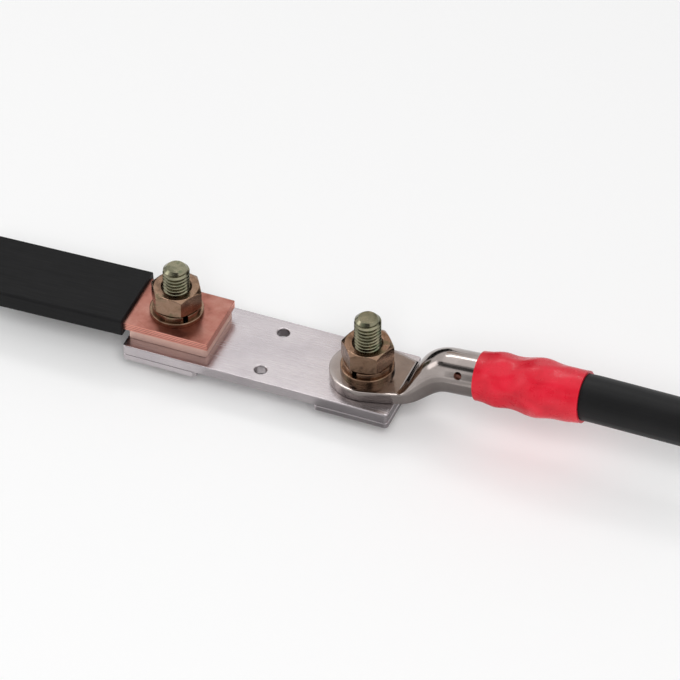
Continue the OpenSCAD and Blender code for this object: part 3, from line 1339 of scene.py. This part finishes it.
    def sleeve_r(self, run: float) -> float:
        """Outside radius of the sleeve before it folds.

        Args:
            run: Distance from the sleeve's start, in mm.

        Returns:
            The radius, in mm.
        """
        part = run / self.sleeve_l
        base = self.barrel_r + (self.cable_r - self.barrel_r) * ease(part)
        swollen = sum(
            swell.height * math.exp(-(((part - swell.middle) / swell.spread) ** 2))
            for swell in self.swells
        )
        return base + self.sleeve_wall + swollen

    def sleeve(self) -> None:
        """Spin the shrunk sleeve and draw it into uneven folds."""
        step = self.jacket_from - self.sleeve_from - self.end_gap
        barrel_r = self.barrel_r + self.clearance
        jacket_r = self.cable_r + self.clearance
        inner = [(jacket_r, self.sleeve_l), (jacket_r, step), (barrel_r, step), (barrel_r, 0.0)]
        runs = [self.sleeve_l * i / self.sleeve_rings for i in range(self.sleeve_rings + 1)]
        outer = [(self.sleeve_r(run), run) for run in runs]
        bm = lathe(inner + outer, steps=self.sleeve_steps)
        for vert in bm.verts:
            radius = vert.co.xy.length
            if abs(radius - self.sleeve_r(vert.co.z)) > NEAR:
                continue
            angle = math.atan2(vert.co.y, vert.co.x)
            part = vert.co.z / self.sleeve_l
            free = math.sin(math.pi * min(max(part, 0), 1)) ** self.fold_fade
            folded = sum(
                fold.depth * math.sin(fold.count * angle + fold.twist * part + fold.start)
                for fold in self.folds
            )
            vert.co.xy *= (radius + free * (folded - self.fold_in)) / radius
        move(bm, self.barrel @ Matrix.Translation((self.sleeve_from, 0, 0)) @ self.lay_down)
        face_out(bm)
        make_piece(bm, "lug_sleeve", "red", RED_SLEEVE, sharp_deg=60, flat_faces=False)


class Softbox(NamedTuple):
    """A flat lamp: place and sizes in metres, power in watts, and whether metal shows it."""

    name: str
    place: Place
    size: Pair
    watts: float
    mirrored: bool = True


class Card(NamedTuple):
    """A sheet of plain paper: place of its middle and sizes in metres, sRGB hex colour."""

    name: str
    place: Place
    size: Pair
    colour: str


@dataclass
class Studio:
    """White studio: paper floor, soft lamps, dark flags and the photograph's camera."""

    azimuth_deg: float = 21.9
    elevation_deg: float = 41.3
    image_px: float = 680.0
    px_per_mm: float = 2.744
    plate_px: Pair = (272.0, 351.0)
    lens_mm: float = 400.0
    sensor_mm: float = 36.0
    clip_m: Pair = (0.05, 50.0)
    world_light: float = 0.4
    lamps: tuple[Softbox, ...] = (
        Softbox("top softbox", (0.0, 0.1, 1.2), (1.6, 1.6), 2.2),
        Softbox("back strip", (-0.3, 0.5, 0.9), (0.5, 0.12), 1.0),
        Softbox("left softbox", (-0.8, -0.25, 0.5), (0.4, 0.4), 0.8),
        Softbox("front softbox", (0.84, -1.7, 2.0), (1.4, 1.4), 41.0, mirrored=False),
    )
    floor: Card = Card("floor", (0.0, 0.0, 0.0), (6.0, 6.0), "#fdfdfd")
    # Cards that lie on the floor, a paper's thickness apart, and show only in the metal:
    # their greys are painted shade in its reflections of the floor.
    cards: tuple[Card, ...] = (
        Card("grey_card", (0.015, -0.12, 0.0005), (0.08, 0.2), "#d2d2d2"),
        Card("dark_card", (0.0375, -0.026, 0.001), (0.035, 0.014), "#909090"),
        Card("under_card", (0.0725, -0.02, 0.0015), (0.045, 0.06), "#b0b0b0"),
    )
    # Flags that stand up and face the splice.
    flags: tuple[Card, ...] = (
        Card("front_flag", (-0.2, -0.75, 1.2), (2.4, 0.6), "#5a5a5a"),
        Card("low_front_flag", (0.13, -1.0, 0.33), (0.94, 0.66), "#a0a0a0"),
        Card("back_left_flag", (-0.45, 0.5, 0.14), (0.6, 0.4), "#161616"),
        Card("back_right_flag", (0.36, 0.8, 0.76), (0.6, 0.6), "#242424"),
        Card("palm_flag", (0.0, 0.112, 0.114), (0.036, 0.034), "#d8c4b2"),
    )

    def build(self) -> None:
        """Set up the whole studio."""
        bpy.context.scene.view_settings.view_transform = "Standard"
        ground = Matrix.Translation((0, 0, CAD_BOX[0][2]))
        self.sheet(self.floor, ground)
        self.world()
        for softbox in self.lamps:
            self.lamp(softbox)
        for flag in self.flags:
            turn = Vector(flag.place).to_track_quat("Z", "Y").to_matrix().to_4x4()
            self.mirrored_only(self.sheet(flag, Matrix.Translation(flag.place) @ turn))
        for card in self.cards:
            self.mirrored_only(self.sheet(card, ground @ Matrix.Translation(card.place)))
        self.camera()

    @staticmethod
    def sheet(card: Card, place: Matrix) -> bpy.types.Object:
        """Set up one flat sheet of paper on the stage.

        Args:
            card: The sheet's name, sizes and colour.
            place: Transform of the sheet from the XY plane.

        Returns:
            The sheet, which belongs to the stage.
        """
        bm = bmesh.new()
        bmesh.ops.create_grid(
            bm, x_segments=1, y_segments=1, size=0.5,
            matrix=place @ Matrix.Diagonal((*card.size, 1.0, 1.0)),
        )
        mesh = bpy.data.meshes.new(card.name)
        bm.to_mesh(mesh)
        bm.free()
        paper = bpy.data.materials.new(f"{card.name} paper")
        paper.use_nodes = True
        tree = paper.node_tree
        tree.nodes.clear()
        matt = add_node(tree, "ShaderNodeBsdfDiffuse", inputs={"Color": linear(card.colour)})
        add_node(tree, "ShaderNodeOutputMaterial", links={"Surface": matt.outputs["BSDF"]})
        mesh.materials.append(paper)
        made = put(card.name, mesh)
        log.info("stage: %s", card.name)
        return made

    @staticmethod
    def mirrored_only(sheet: bpy.types.Object) -> None:
        """Let a sheet show only in the metal, as for photographs of bright parts.

        Args:
            sheet: Flag or card of the stage.
        """
        sheet.visible_camera = False
        sheet.visible_diffuse = False
        sheet.visible_shadow = False

    def world(self) -> None:
        """White surroundings for what is seen, softer light for the rest."""
        world = bpy.data.worlds.new("white studio")
        bpy.context.scene.world = world
        world.use_nodes = True
        tree = world.node_tree
        tree.nodes.clear()
        ray = add_node(tree, "ShaderNodeLightPath").outputs
        seen = ray["Is Camera Ray"]
        for kind in ("Is Glossy Ray", "Is Transmission Ray"):
            seen = add_node(
                tree, "ShaderNodeMath", operation="MAXIMUM", links={0: seen, 1: ray[kind]}
            ).outputs[0]
        strength = add_node(
            tree, "ShaderNodeMapRange", inputs={"To Min": self.world_light, "To Max": 1.0},
            links={"Value": seen},
        )
        glow = add_node(
            tree, "ShaderNodeBackground", inputs={"Color": (1, 1, 1, 1)},
            links={"Strength": strength.outputs["Result"]},
        )
        add_node(tree, "ShaderNodeOutputWorld", links={"Surface": glow.outputs[0]})

    @staticmethod
    def lamp(softbox: Softbox) -> None:
        """Hang one softbox, turned to the splice.

        Args:
            softbox: The lamp's name, place, sizes and power.
        """
        data = bpy.data.lights.new(softbox.name, "AREA")
        data.shape = "RECTANGLE"
        data.size, data.size_y = softbox.size
        data.energy = softbox.watts
        made = put(softbox.name, data)
        made.location = softbox.place
        made.rotation_euler = (-Vector(softbox.place)).to_track_quat("-Z", "Y").to_euler()
        made.visible_glossy = softbox.mirrored

    def camera(self) -> None:
        """Set the camera at the photograph's angle, scale and framing."""
        a, e = math.radians(self.azimuth_deg), math.radians(self.elevation_deg)
        back = Vector((math.sin(a) * math.cos(e), -math.cos(a) * math.cos(e), math.sin(e)))
        right = Vector((math.cos(a), math.sin(a), 0))
        up = back.cross(right)
        half = self.image_px / 2
        px = MM / self.px_per_mm
        aside = (half - self.plate_px[0]) * px
        above = (self.plate_px[1] - half) * px
        target = Vector((0, 0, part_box("link_plate")[1].z)) + right * aside + up * above
        distance = half * px * self.lens_mm / (self.sensor_mm / 2)
        data = bpy.data.cameras.new("camera")
        data.lens = self.lens_mm
        data.sensor_width = self.sensor_mm
        data.clip_start, data.clip_end = self.clip_m
        camera = put("camera", data)
        camera.location = target + back * distance
        camera.rotation_euler = (-back).to_track_quat("-Z", "Y").to_euler()
        bpy.context.scene.camera = camera


def main() -> None:
    """Build the splice and its studio."""
    logging.basicConfig(level=logging.INFO, format="%(name)s: %(message)s")
    Studio().build()
    LinkPlates().build()
    BoltSet(Side.BAR, nut_turn_deg=2.0, split_deg=320.0).build()
    BoltSet(Side.CABLE, nut_turn_deg=11.0, split_deg=265.0).build()
    FlatBar().build()
    LuggedCable().build()


if __name__ == "__main__":
    main()
